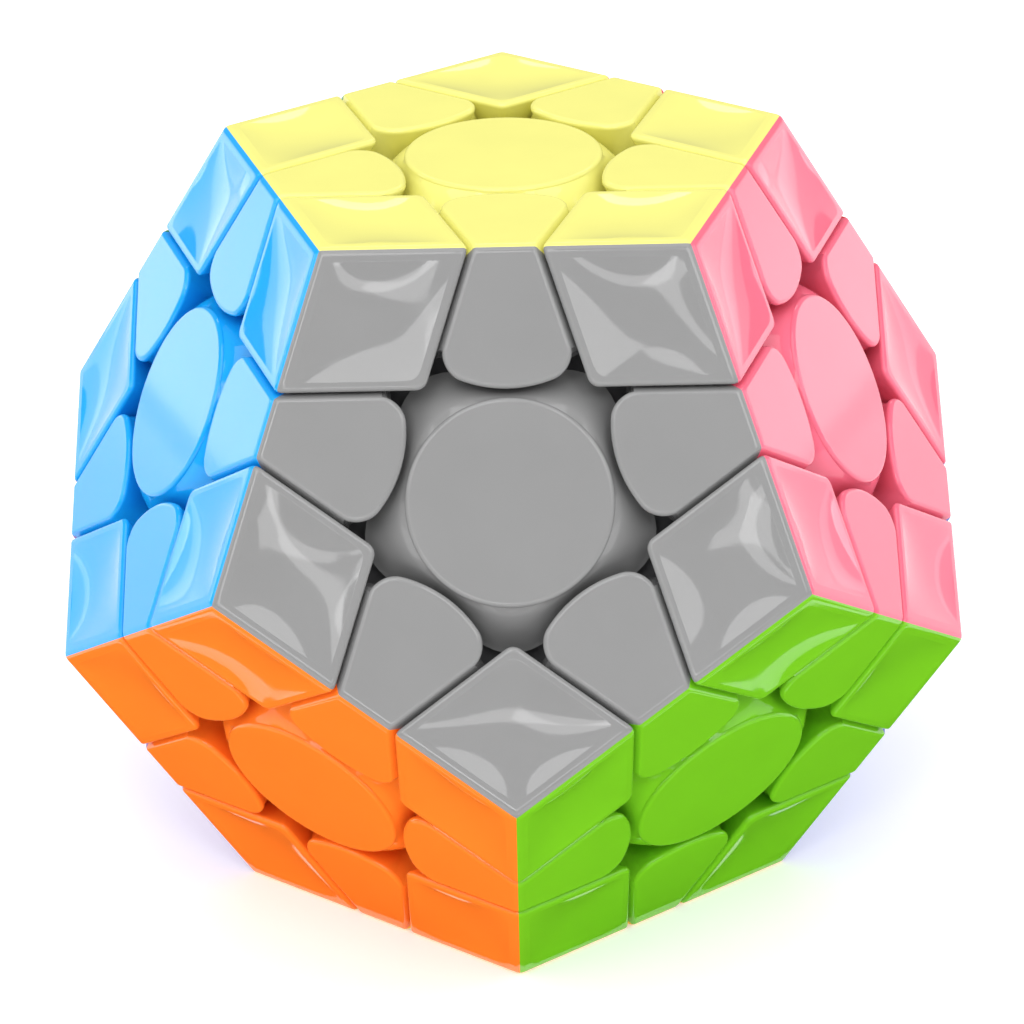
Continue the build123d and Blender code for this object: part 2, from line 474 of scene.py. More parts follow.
def wall_column(station, foot, sizes):
    """Points from the facet round the border and down the wall to its foot."""
    return [station.middle + sizes.border_radius * direction
            for direction in turned(station.facet, station.wall, sizes.border_steps)] + [foot]


def straight_feet(stations, last_foot, sizes):
    """Feet of a straight wall on the floor sphere, from the colour joint to a known foot.

    The wall's plane cuts the sphere in a circle; the joint runs to that circle's middle.
    """
    wall, top = stations[0].wall, wall_top(stations[0], sizes)
    middle = wall * (wall @ top)
    first_foot = down_to_sphere(top, unit(middle - top), sizes.shell_floor)
    radius = np.linalg.norm(first_foot - middle)
    ways = turned(unit(first_foot - middle), unit(last_foot - middle), len(stations))
    return [middle + radius * way for way in ways][:-1]


def joint_column(top, bottom, sizes):
    """Points down the flat joint between two colours, as many as a wall column has."""
    shares = [JOINT_TOP * m / sizes.border_steps for m in range(sizes.border_steps + 1)] + [1]
    return [top + (bottom - top) * share for share in shares]


def joint_bottoms(first, last, sizes, count):
    """Points on the floor sphere under a ridge, between its two ends."""
    return [sizes.shell_floor * d for d in turned(unit(first), unit(last), count)]


def close_underside(skin, columns, middle, sizes):
    """Walls, their lower rim, the inner walls and the ceiling of a hollow shell."""
    axis = unit(middle)
    rims, ceilings = [], []
    for column in columns:
        foot = column[-1]
        inward = unit(axis * sizes.shell_floor - foot)
        rims.append(unit(foot + inward * sizes.wall) * sizes.shell_floor)
        top = column[0]
        inward = unit(middle - top)
        ceilings.append(np.array([*(top + inward * sizes.wall)[:2], INRADIUS - sizes.wall]))
    skin.patch([list(row) for row in zip(*columns)] + [rims, ceilings], closed=True)
    skin.fan(ceilings, np.array([middle[0], middle[1], INRADIUS - sizes.wall]))


def rounded_outline(corners, radii, steps=10):
    """Polygon with rounded corners, as a closed row of points on the plane."""
    points = []
    count = len(corners)
    for i, (corner, radius) in enumerate(zip(corners, radii)):
        before, after = unit(corners[i - 1] - corner), unit(corners[(i + 1) % count] - corner)
        half = math.acos(np.clip(before @ after, -1, 1)) / 2
        centre = corner + unit(before + after) * radius / math.sin(half)
        start, end = [unit(corner + d * radius / math.tan(half) - centre) for d in (before, after)]
        points += [centre + radius * direction for direction in turned(start, end, steps)]
    return np.array(points)


def reach_of(outline, middle, directions):
    """Distance from the middle to an outline in each direction, both on the plane."""
    count = 60
    fine = np.concatenate([np.linspace(a, b, count, endpoint=False)
                           for a, b in zip(outline, np.roll(outline, -1, axis=0))])
    offsets = fine - middle
    angles, reaches = np.arctan2(offsets[:, 1], offsets[:, 0]), np.linalg.norm(offsets, axis=1)
    order = np.argsort(angles)
    wanted = np.arctan2(directions[:, 1], directions[:, 0])
    return np.interp(wanted, angles[order], reaches[order], period=2 * math.pi)


def film_depth(rows, middle):
    """Sag of a film stretched over the first row and pressed evenly, from 0 to 1.

    It solves Poisson's equation on the triangles between the rows.
    """
    count = len(rows[0])
    points = np.vstack([*rows, [middle]])[:, :2]
    triangles = []
    for ring in range(len(rows) - 1):
        for i in range(count):
            a, b = ring * count + i, ring * count + (i + 1) % count
            triangles += [(a, b, b + count), (a, b + count, a + count)]
    last = (len(rows) - 1) * count
    triangles += [(last + i, last + (i + 1) % count, last + count) for i in range(count)]
    triangles = np.array(triangles)
    stiffness, load = np.zeros((len(points),) * 2), np.zeros(len(points))
    for turn in range(3):
        i, j, k = (triangles[:, (turn + n) % 3] for n in range(3))
        u, v = points[i] - points[k], points[j] - points[k]
        doubled = np.abs(u[:, 0] * v[:, 1] - u[:, 1] * v[:, 0])
        weight = (u * v).sum(1) / doubled / 2
        for row, column, sign in ((i, j, -1), (j, i, -1), (i, i, 1), (j, j, 1)):
            np.add.at(stiffness, (row, column), sign * weight)
        np.add.at(load, k, doubled / 6)
    depth = np.zeros(len(points))
    depth[count:] = np.linalg.solve(stiffness[count:, count:], load[count:])
    depth /= depth.max()
    return depth[:-1].reshape(len(rows), count), depth[-1]


def flat_top(skin, border, middle):
    """Flat facet inside its rounded border."""
    border = np.array(border)
    inner = border + BAND * np.array([unit(middle - p) for p in border])
    rings = [inner + (middle - inner) * share for share in FLAT_RINGS]
    skin.patch([border, inner], closed=True)
    skin.patch(rings, closed=True)
    skin.fan(rings[-1], middle)


def dished_top(skin, border, middle, outline, sizes):
    """Facet with a raised rim and a smooth hollow whose border is the outline."""
    border = np.array(border)
    directions = np.array([unit(p - middle) for p in border])
    edge = middle + directions * reach_of(outline, middle[:2], directions)[:, None]
    crease = sizes.crease_width / 2
    rim = [border, border + (edge - border) * RIM_RING, edge + directions * crease]
    shares = [1 - sizes.crease_width / HOLLOW_REACH * k for k in (0, 0.5, 1)]
    rings = [middle + (edge - middle) * share for share in (*shares, *HOLLOW_RINGS)]
    sag, deepest = film_depth(rings, middle)
    for ring, depth in zip(rings, sag):
        ring[:, 2] -= depth * sizes.dish_depth
    skin.patch(rim + rings, closed=True)
    skin.fan(rings[-1], middle - UP * deepest * sizes.dish_depth)


def corner_facet(sizes):
    """One of the three shells of a corner piece, on the +Z face beside SIDE and LEFT."""
    skin = Skin()
    cut = sizes.cut + sizes.half_gap
    ridges = [(np.array([1.0, 0, 0]), LEFT), (unit([*LEFT[:2], 0]), SIDE)]
    # middle of the rounding where all three ridges meet
    inner_ridge = RIDGE_DISTANCE - sizes.ridge_radius * math.tan(HALF_FOLD)
    corner_way = np.array([math.cos(FIFTH / 2), math.sin(FIFTH / 2), 0])
    vertex = corner_way * inner_ridge / math.cos(FIFTH / 2) + UP * (INRADIUS - sizes.ridge_radius)
    tip_down = unit(np.cross(SIDE, LEFT))
    tip_down = tip_down if tip_down[2] < 0 else -tip_down
    strips = []
    for normal, wall in ridges:
        along = unit(np.cross(UP, normal))
        along = along if along @ vertex < 0 else -along
        strips.append(ridge_strip(vertex, along, normal, -wall, -cut, sizes) + (along,))
    # the rounded inner tip, where the two walls meet
    tips = []
    system = np.array([LEFT, SIDE, UP])
    base = np.linalg.solve(system, [cut + sizes.tip_radius, cut + sizes.tip_radius, INRADIUS])
    for wall in turned(-LEFT, -SIDE, sizes.tip_steps):
        middle = base + (sizes.tip_radius - sizes.border_radius) * wall
        middle = middle + tip_down * ((INRADIUS - sizes.border_radius - middle[2]) / tip_down[2])
        tips.append(Station(middle, UP, wall))
    first, second = strips[0][0], strips[1][0]
    sides = [strip + between(strip[-1], tip, sizes.side_steps)
             for strip, tip in ((first, tips[0]), (second, tips[-1]))]
    chain = sides[0] + tips + sides[1][::-1]
    flats = chain[sizes.ridge_steps:len(chain) - sizes.ridge_steps]
    tip_feet = [down_to_sphere(wall_top(tip, sizes), tip_down, sizes.shell_floor) for tip in tips]
    feet = (straight_feet(sides[0], tip_feet[0], sizes) + tip_feet
            + straight_feet(sides[1], tip_feet[-1], sizes)[::-1])
    # rounded ridges, from the flat facet to the colour joint
    grids = []
    for stations, reaches, along in strips:
        grid = []
        for k in range(sizes.side_steps + 1):
            fade = 1 - k / sizes.side_steps
            grid.append([vertex + along * reach * fade + sizes.ridge_radius * station.facet
                         for station, reach in zip(stations, reaches)][::-1])
        grids.append(grid)
        skin.patch(grid)
    # rounded outer vertex: this face's third of a ball
    fan_rows = []
    start, end = ridges[0][0], ridges[1][0]
    for way in turned(end, start, 2 * sizes.vertex_steps):
        nearer = max(way @ start, way @ end)
        limit = math.atan(math.tan(HALF_FOLD) / nearer)
        leans = [limit * j / sizes.ridge_steps for j in range(sizes.ridge_steps + 1)]
        fan_rows.append([vertex + sizes.ridge_radius * (way * math.sin(lean) + UP * math.cos(lean))
                         for lean in leans])
    skin.patch(fan_rows)
    # border of the flat facet, once round
    border = [border_point(station, sizes) for station in flats]
    border += [row[0] for row in grids[1][1:]] + [row[0] for row in grids[0][-2:0:-1]]
    low, high = sizes.gap_line + sizes.gap_rim, RIDGE_DISTANCE - sizes.ridge_rim
    normals = [r[0][:2] for r in ridges]
    outline = [np.linalg.solve(normals, pair) for pair in
               ((high, high), (low, high), (low, low), (high, low))]
    outline = rounded_outline(outline, (sizes.dish_vertex, sizes.dish_side,
                                        sizes.dish_tip, sizes.dish_side))
    reach = (low + high) / 2 / math.cos(FIFTH / 2)
    middle = corner_way * reach + UP * INRADIUS
    dished_top(skin, border, middle, outline, sizes)
    # walls and joints, once round
    columns = [wall_column(station, foot, sizes) for station, foot in zip(chain, feet)]
    floor_vertex = unit(UP + SIDE + LEFT)
    tops = ([row[-1] for row in grids[1]], [row[-1] for row in fan_rows],
            [row[-1] for row in grids[0][::-1]])
    bottoms = joint_bottoms(columns[-1][-1], floor_vertex, sizes, len(tops[0]) - 1)
    columns += [joint_column(t, b, sizes) for t, b in list(zip(tops[0], bottoms))[1:-1]]
    columns += [joint_column(t, floor_vertex * sizes.shell_floor, sizes) for t in tops[1]]
    bottoms = joint_bottoms(floor_vertex, columns[0][-1], sizes, len(tops[2]) - 1)
    columns += [joint_column(t, b, sizes) for t, b in list(zip(tops[2], bottoms))[1:-1]]
    close_underside(skin, columns, middle, sizes)
    return skin.sewn("corner_facet")


def edge_border(sizes):
    """Sharp outline of an edge facet's inner end: points, outward directions and wall turns."""
    normal = unit(LEFT[:2])
    side_line = (sizes.cut - sizes.half_gap - LEFT[2] * INRADIUS) / np.linalg.norm(LEFT[:2])
    end_radius, corner_radius = sizes.edge_end_radius, sizes.edge_corner_radius
    end_middle = np.array([sizes.gap_line + end_radius, 0])
    # the small corner arc touches the straight side and the large end arc from inside
    tangent = np.array([-normal[1], normal[0]])
    foot = normal * (side_line - corner_radius)
    offset = foot - end_middle
    reach = end_radius - corner_radius
    root = math.sqrt((offset @ tangent) ** 2 - offset @ offset + reach**2)
    corner_middle = min((foot + tangent * (-(offset @ tangent) + s * root) for s in (1, -1)),
                        key=lambda p: p[0])
    touch = unit(corner_middle - end_middle)
    points = []
    start, finish = math.atan2(normal[1], normal[0]), math.atan2(touch[1], touch[0])
    for k in range(sizes.tip_steps + 1):
        way = start + (finish - start) * k / sizes.tip_steps
        points.append((corner_middle, corner_radius, way))
    for k in range(1, sizes.tip_steps + 1):
        way = finish + (math.pi - finish) * k / sizes.tip_steps
        points.append((end_middle, end_radius, way))
    outline = []
    for centre, radius, way in points:
        direction = np.array([math.cos(way), math.sin(way)])
        share = 1 - (1 - (way - start) / (math.pi - start)) ** WALL_EASE
        wall_turn = AXIS_TILT + (math.pi - 2 * AXIS_TILT) * share
        outline.append((centre + radius * direction, direction, wall_turn))
    mirror = [(p * [1, -1], d * [1, -1], turn) for p, d, turn in outline[-2::-1]]
    return outline + mirror


def edge_facet(sizes):
    """One of the two shells of an edge piece, on the +Z face beside SIDE."""
    skin = Skin()
    ends, end_feet = [], []
    for point, direction, wall_turn in edge_border(sizes):
        outward = np.array([*direction, 0])
        middle = (np.array([*point, INRADIUS - sizes.border_radius])
                  - outward * sizes.border_radius * math.tan(wall_turn / 2))
        wall = outward * math.sin(wall_turn) + UP * math.cos(wall_turn)
        down = outward * math.cos(wall_turn) - UP * math.sin(wall_turn)
        ends.append(Station(middle, UP, wall))
        end_feet.append(down_to_sphere(wall_top(ends[-1], sizes), down, sizes.shell_floor))
    ridge_way = np.array([1.0, 0, 0])
    start = (ridge_way * (RIDGE_DISTANCE - sizes.ridge_radius * math.tan(HALF_FOLD))
             + UP * (INRADIUS - sizes.ridge_radius))
    offset = sizes.cut - sizes.half_gap
    strips = [ridge_strip(start, np.array([0, sign, 0.0]), ridge_way, wall, offset, sizes)
              for sign, wall in ((1, LEFT), (-1, RIGHT))]
    first, second = strips[0][0], strips[1][0]
    sides = [strip + between(strip[-1], end, sizes.side_steps)
             for strip, end in ((first, ends[0]), (second, ends[-1]))]
    chain = sides[0] + ends + sides[1][::-1]
    flats = chain[sizes.ridge_steps:len(chain) - sizes.ridge_steps]
    feet = (straight_feet(sides[0], end_feet[0], sizes) + end_feet
            + straight_feet(sides[1], end_feet[-1], sizes)[::-1])
    grid = []
    for k in range(sizes.side_steps + 1):
        fade = 1 - 2 * k / sizes.side_steps
        grid.append([start - np.array([0, 1.0, 0]) * reach * fade
                     + sizes.ridge_radius * station.facet
                     for station, reach in zip(first, strips[0][1])][::-1])
    skin.patch(grid)
    border = [border_point(station, sizes) for station in flats] + [row[0] for row in grid[1:-1]]
    middle = np.array([(sizes.gap_line + RIDGE_DISTANCE) / 2, 0, INRADIUS])
    flat_top(skin, border, middle)
    columns = [wall_column(station, foot, sizes) for station, foot in zip(chain, feet)]
    bottoms = joint_bottoms(columns[-1][-1], columns[0][-1], sizes, sizes.side_steps)
    tops = [row[-1] for row in grid]
    columns += [joint_column(t, b, sizes) for t, b in list(zip(tops, bottoms))[1:-1]]
    close_underside(skin, columns, middle, sizes)
    return skin.sewn("edge_facet")


# ---------------------------------------------------------------- curved feet

def foot_ways(axis, azimuths):
    """Directions across an axis, at angles round it."""
    first = unit(np.cross(axis, SKEW))
    second = np.cross(axis, first)
    return np.array([math.cos(a) * first + math.sin(a) * second for a in azimuths])


def foot_reach(axis, across, limits, radius, sizes):
    """Angle from the axis to the border of a foot on a sphere, in each direction across it.

    limits are (direction, distance, side): side 1 keeps what lies beyond the plane, -1 what
    lies before it. The corners are eased by a smooth least value.
    """
    reaches = []
    for direction, distance, side in limits:
        flat, lean = direction @ axis, across @ direction
        size, turn = np.hypot(flat, lean), np.arctan2(lean, flat)
        spread = np.arccos(np.clip(distance / radius / size, -1, 1))
        reach = turn + spread if side > 0 else turn - spread
        reach = np.where(distance / radius > size, math.pi / 2, reach)
        reaches.append(np.where(reach <= 0, math.pi / 2, reach))
    ease = radius / sizes.foot_corner
    return -np.log(np.exp(-ease * np.array(reaches)).sum(0)) / ease


def foot_mesh(axis, limits, boss_radius, sizes):
    """Curved plate under the shells, with a low round boss that carries them."""
    skin = Skin()
    azimuths = np.linspace(0, 2 * math.pi, sizes.foot_steps, endpoint=False)
    top, bottom = sizes.foot_top, sizes.foot_top - sizes.foot_thickness
    across = foot_ways(axis, azimuths)
    outer = foot_reach(axis, across, limits, top, sizes)
    inner = foot_reach(axis, across, limits, bottom, sizes)

    def ring(radius, angles):
        return [radius * (math.cos(angle) * axis + math.sin(angle) * way)
                for angle, way in zip(np.broadcast_to(angles, len(across)), across)]

    boss = boss_radius / top
    rows = [ring(sizes.shell_floor, boss * share) for share in (0.4, 1)]
    rows += [ring(top, boss + (outer - boss) * share) for share in (0, 0.2, 0.4, 0.6, 0.8, 1)]
    rows += [ring(bottom, inner * share) for share in (1, 0.8, 0.6, 0.4, 0.2)]
    skin.patch(rows, closed=True)
    skin.fan(rows[0], axis * sizes.shell_floor)
    skin.fan(rows[-1], axis * bottom)
    rough = new_object("foot", skin.sewn("foot"))
    bevel = rough.modifiers.new("eased_border", "BEVEL")
    bevel.width, bevel.segments = FOOT_BEVEL, 2
    bevel.limit_method, bevel.angle_limit = "ANGLE", FOOT_BEVEL_ANGLE
    return plain_mesh(rough, "foot")


def plain_mesh(source, name):
    """Result of an object's modifiers as a plain mesh; the object is removed."""
    bpy.context.view_layer.update()
    graph = bpy.context.evaluated_depsgraph_get()
    mesh = bpy.data.meshes.new_from_object(source.evaluated_get(graph))
    mesh.name = name
    source.modifiers.clear()
    bpy.data.objects.remove(source)
    return closed_mesh(mesh)


# ---------------------------------------------------------------- Geometry Nodes

def new_tree(name, inputs):
    """Geometry tree with named inputs; gives the tree, its input node and the identifiers."""
    tree = bpy.data.node_groups.new(name, "GeometryNodeTree")
    tree.is_modifier = True
    identifiers = {}
    for title, kind in [("Geometry", "NodeSocketGeometry")] + inputs:
        socket = tree.interface.new_socket(title, in_out="INPUT", socket_type=kind)
        identifiers[title] = socket.identifier
    tree.interface.new_socket("Geometry", in_out="OUTPUT", socket_type="NodeSocketGeometry")
    return tree, add_node(tree, "NodeGroupInput"), identifiers


def end_tree(tree, geometry, material):
    """Real geometry with its material, at the end of a tree."""
    real = add_node(tree, "GeometryNodeRealizeInstances", {"Geometry": geometry})
    finished = add_node(tree, "GeometryNodeSetMaterial", {"Geometry": real.outputs[0],
                                                          "Material": material})
    add_node(tree, "NodeGroupOutput", {0: finished.outputs[0]})


def run_tree(tree, identifiers, source_mesh, values, name):
    """Mesh that a tree makes from a source mesh and named values."""
    source = new_object(name, source_mesh)
    modifier = source.modifiers.new(tree.name, "NODES")
    modifier.node_group = tree
    for title, value in values.items():
        modifier[identifiers[title]] = value
    return plain_mesh(source, name)


def calc(tree, operation, *values):
    """Result of one operation on numbers and other nodes' outputs."""
    return add_node(tree, "ShaderNodeMath", dict(enumerate(values)),
                    operation=operation).outputs[0]


def turning_tree():
    """Tree that turns a profile about +Z and leans it along an axis.

    The profile is a row of points in the XZ plane, in order. A grid has one line for each
    of them, and every point of a line goes to its share of the turn. Outside the inner radius
    the shape swells into five lobes, from none at the upper level to the given share at the
    lower one.
    """
    tree, given, ids = new_tree("turned_on_an_axis", [
        ("Segments", "NodeSocketInt"), ("Turn", "NodeSocketVector"), ("Lobe", "NodeSocketFloat"),
        ("Inner Radius", "NodeSocketFloat"), ("Upper Level", "NodeSocketFloat"),
        ("Lower Level", "NodeSocketFloat"), ("Finish", "NodeSocketMaterial")])
    given = given.outputs
    count = add_node(tree, "GeometryNodeAttributeDomainSize", {0: given["Geometry"]})
    around = calc(tree, "ADD", given["Segments"], 1.0)
    grid = add_node(tree, "GeometryNodeMeshGrid",
                    {"Size X": 1.0, "Size Y": 1.0, "Vertices X": count.outputs["Point Count"],
                     "Vertices Y": around})
    index = add_node(tree, "GeometryNodeInputIndex").outputs[0]
    line = calc(tree, "FLOOR", calc(tree, "DIVIDE", index, around))
    share = calc(tree, "DIVIDE", calc(tree, "MODULO", index, around), given["Segments"])
    angle = calc(tree, "MULTIPLY", share, 2 * math.pi)
    where = add_node(tree, "GeometryNodeInputPosition")
    profile = add_node(tree, "GeometryNodeSampleIndex",
                       {"Geometry": given["Geometry"], "Value": where.outputs[0], "Index": line},
                       data_type="FLOAT_VECTOR", domain="POINT").outputs["Value"]
    spun = add_node(tree, "ShaderNodeVectorRotate", {"Vector": profile, "Angle": angle},
                    rotation_type="Z_AXIS")
    parts = add_node(tree, "ShaderNodeSeparateXYZ", {0: profile}).outputs
    depth = ranged(tree, parts["Z"], 0.0, 1.0, given["Upper Level"], given["Lower Level"])
    outside = calc(tree, "GREATER_THAN", parts["X"], given["Inner Radius"])
    swell = calc(tree, "MULTIPLY", calc(tree, "POWER", depth, LOBE_FLARE), outside)
    swell = calc(tree, "MULTIPLY", swell, given["Lobe"])
    wave = calc(tree, "COSINE", calc(tree, "MULTIPLY", angle, LOBES))
    wave = calc(tree, "MULTIPLY_ADD", wave, -0.5, 0.5)
    widening = calc(tree, "MULTIPLY_ADD", wave, swell, 1.0)
    widened = add_node(tree, "ShaderNodeCombineXYZ", {0: widening, 1: widening, 2: 1.0})
    lobed = add_node(tree, "ShaderNodeVectorMath", {0: spun.outputs[0], 1: widened.outputs[0]},
                     operation="MULTIPLY")
    shaped = add_node(tree, "GeometryNodeSetPosition", {"Geometry": grid.outputs["Mesh"],
                                                        "Position": lobed.outputs[0]})
    welded = add_node(tree, "GeometryNodeMergeByDistance", {"Geometry": shaped.outputs[0],
                                                            "Distance": 0.001 * MM})
    leaned = add_node(tree, "GeometryNodeTransform", {"Geometry": welded.outputs[0],
                                                      "Rotation": given["Turn"]})
    end_tree(tree, leaned.outputs[0], given["Finish"])
    return tree, ids


def axes_points(tree):
    """Points on the twelve axes: the corners of an icosahedron, turned to this frame."""
    corners = add_node(tree, "GeometryNodeMeshIcoSphere", {"Radius": 1.0, "Subdivisions": 1})
    turned_to = add_node(tree, "GeometryNodeTransform",
                         {"Geometry": corners.outputs["Mesh"],
                          "Rotation": (0.0, 0.0, ICOSPHERE_TURN)})
    where = add_node(tree, "GeometryNodeInputPosition")
    lean = add_node(tree, "FunctionNodeAlignRotationToVector", {"Vector": where.outputs[0]},
                    axis="Z")
    middle = add_node(tree, "GeometryNodeMeshToPoints", {"Mesh": turned_to.outputs[0]})
    return middle.outputs[0], lean.outputs[0]


def copies_on_axes(tree, geometry):
    """One copy of a geometry on each of the twelve axes, all from the origin."""
    points, lean = axes_points(tree)
    copies = add_node(tree, "GeometryNodeInstanceOnPoints", {"Points": points,
                                                             "Instance": geometry,
                                                             "Rotation": lean})
    where = add_node(tree, "GeometryNodeInputPosition")
    back = add_node(tree, "ShaderNodeVectorMath", {0: where.outputs[0], "Scale": -1.0},
                    operation="SCALE")
    return add_node(tree, "GeometryNodeTranslateInstances",
                    {"Instances": copies.outputs[0], "Translation": back.outputs[0],
                     "Local Space": False}).outputs[0]


def fastener_tree():
    """Tree that puts the source mesh, a screw and its washer, on all twelve axes."""
    tree, given, ids = new_tree("fasteners_on_axes", [("Finish", "NodeSocketMaterial")])
    end_tree(tree, copies_on_axes(tree, given.outputs["Geometry"]), given.outputs["Finish"])
    return tree, ids


def spring_tree():
    """Tree that winds a compression spring and puts it on all twelve axes."""
    tree, given, ids = new_tree("springs_on_axes", [
        ("Coil Radius", "NodeSocketFloat"), ("Wire Radius", "NodeSocketFloat"),
        ("Turns", "NodeSocketFloat"), ("Height", "NodeSocketFloat"),
        ("Seat", "NodeSocketFloat"), ("Finish", "NodeSocketMaterial")])
    coil = add_node(tree, "GeometryNodeCurveSpiral",
                    {"Resolution": 28, "Rotations": given.outputs["Turns"],
                     "Start Radius": given.outputs["Coil Radius"],
                     "End Radius": given.outputs["Coil Radius"],
                     "Height": given.outputs["Height"]})
    wire = add_node(tree, "GeometryNodeCurvePrimitiveCircle",
                    {"Resolution": 10, "Radius": given.outputs["Wire Radius"]})
    swept = add_node(tree, "GeometryNodeCurveToMesh", {"Curve": coil.outputs[0],
                                                       "Profile Curve": wire.outputs[0],
                                                       "Fill Caps": True})
    lift = add_node(tree, "ShaderNodeCombineXYZ", {"Z": given.outputs["Seat"]})
    seated = add_node(tree, "GeometryNodeTransform", {"Geometry": swept.outputs[0],
                                                      "Translation": lift.outputs[0]})
    end_tree(tree, copies_on_axes(tree, seated.outputs[0]), given.outputs["Finish"])
    return tree, ids


def profile_mesh(points, name):
    """Row of (radius, height) points as a mesh of vertices in the XZ plane."""
    mesh = bpy.data.meshes.new(name)
    mesh.from_pydata([(x, 0, z) for x, z in points], [], [])
    return mesh


def arc_points(centre, radius, start, end, steps):
    """Points of an arc in the plane, angles in degrees from the first axis."""
    angles = np.radians(np.linspace(start, end, steps + 1))
    return [(centre[0] + radius * math.cos(a), centre[1] + radius * math.sin(a)) for a in angles]


# ---------------------------------------------------------------- settings

def length(name, description, millimetres):
    """Length setting, stored in metres."""
    return FloatProperty(name=name, description=description, default=millimetres * MM,
                         min=0.0, unit="LENGTH", precision=6)


def steps(name, description, count):
    """Setting for the number of divisions of a shape."""
    return IntProperty(name=name, description=description, default=count, min=1)


def hex_value(name, description, value):
    """Colour setting, an sRGB hex value."""
    return StringProperty(name=name, description=description, default=value)


class ShellSizes(bpy.types.PropertyGroup):
    """Sizes of the coloured shells and of the feet under them."""
    corner_side: length("Corner side", "Corner piece along an edge, to the gap's middle", 12.88)
    gap: length("Gap", "Clearance between neighbouring pieces", 0.3)
    wall: length("Wall", "Wall of the shells", 1.5)
    ridge_radius: length("Ridge radius", "Rounding between two colours of a piece", 1.0)
    border_radius: length("Border radius", "Rounding of a shell towards its neighbours", 0.36)
    tip_radius: length("Tip radius", "Rounding of a corner piece's inner tip", 1.2)
    edge_end_radius: length("Edge end radius", "Large arc at an edge piece's inner end", 11.0)
    edge_corner_radius: length("Edge corner radius", "Small arcs beside the large one", 2.2)
    dish_depth: length("Dish depth", "Deepest point of a corner facet", 0.5)
    ridge_rim: length("Rim at the ridge", "Flat rim and rounding beside a ridge", 1.1)
    gap_rim: length("Rim at the gap", "Flat rim and rounding beside a gap", 1.02)
    crease_width: length("Crease", "Rounding between the rim and the hollow", 0.08)
    dish_vertex: length("Hollow at the vertex", "Rounding of the hollow's outer corner", 0.6)
    dish_side: length("Hollow at the sides", "Rounding of the hollow's side corners", 0.5)
    dish_tip: length("Hollow at the tip", "Rounding of the hollow's inner corner", 1.2)
    shell_floor: length("Shell floor", "Sphere at the bottom of the shells", 32.15)
    foot_top: length("Foot top", "Sphere at the top of the feet", 31.85)
    foot_cut: length("Foot cut", "Planes between the feet, from the middle", 19.0)
    foot_thickness: length("Foot thickness", "Thickness of the curved feet", 3.5)
    foot_corner: length("Foot corner", "Easing of the feet's corners", 0.5)
    boss_radius: length("Boss radius", "Low boss between a foot and its shells", 2.3)
    ridge_steps: steps("Ridge steps", "Divisions across half a ridge", 4)
    border_steps: steps("Border steps", "Divisions round a border", 6)
    tip_steps: steps("Tip steps", "Divisions round a tip or an arc", 9)
    side_steps: steps("Side steps", "Divisions along a side", 18)
    vertex_steps: steps("Vertex steps", "Divisions of half the outer vertex", 3)
    foot_steps: steps("Foot steps", "Divisions round a foot", 72)

    @property
    def half_gap(self):
        return self.gap / 2

    @property
    def cut(self):
        """Distance of the planes between the layers from the middle."""
        return INRADIUS - self.corner_side * math.sin(FACE_CORNER) * math.sin(AXIS_TILT)

    @property
    def gap_line(self):
        """Where a piece's wall on the neighbouring face's cut meets the face, from its middle."""
        return (self.cut + self.half_gap - math.cos(AXIS_TILT) * INRADIUS) / math.sin(AXIS_TILT)


class CentreSizes(bpy.types.PropertyGroup):
    """Sizes of the round centres and of what holds them."""
    disc_radius: length("Disc radius", "Flat top of a centre, with its rounding", 8.75)
    disc_border: length("Disc border", "Rounding of the disc", 0.35)
    skirt_radius: length("Skirt radius", "Lowest and widest part of the flared skirt", 10.6)
    skirt_lobe: FloatProperty(name="Skirt lobes", description="Share by which the skirt's rim "
                              "swells towards the corner pieces", default=0.2)
    cap_bore: length("Cap bore", "Seat of the cap on its base", 7.4)
    column_radius: length("Column radius", "Column of the base", 5.0)
    arm_bore: length("Arm bore", "Bore that turns on the core's arm", 3.1)
    arm_length: length("Arm length", "Core's arm, from the middle", 20.5)
    shelf: length("Shelf", "Floor of the spring well", 1.5)
    well_radius: length("Well radius", "Radius of the spring well", 3.6)
    screw_radius: length("Screw radius", "Shank of the screw", 1.2)
    screw_point: length("Screw point", "End of the screw, from the middle", 10.0)
    head_radius: length("Head radius", "Screw's head", 2.6)
    head_height: length("Head height", "Screw's head", 1.8)
    socket_radius: length("Socket radius", "Corners of the hexagon socket", 1.0)
    washer_radius: length("Washer radius", "Washer under the head", 3.3)
    washer_thickness: length("Washer thickness", "Washer under the head", 0.5)
    spring_length: length("Spring length", "Compressed spring", 6.0)
    wire_radius: length("Wire radius", "Spring wire", 0.3)
    spring_turns: FloatProperty(name="Spring turns", description="Turns of the spring", default=5.0)
    segments: steps("Segments", "Divisions round a centre", 96)

    @property
    def spring_seat(self):
        """Top of the spring well's floor."""
        return self.arm_length + ARM_PLAY + self.shelf


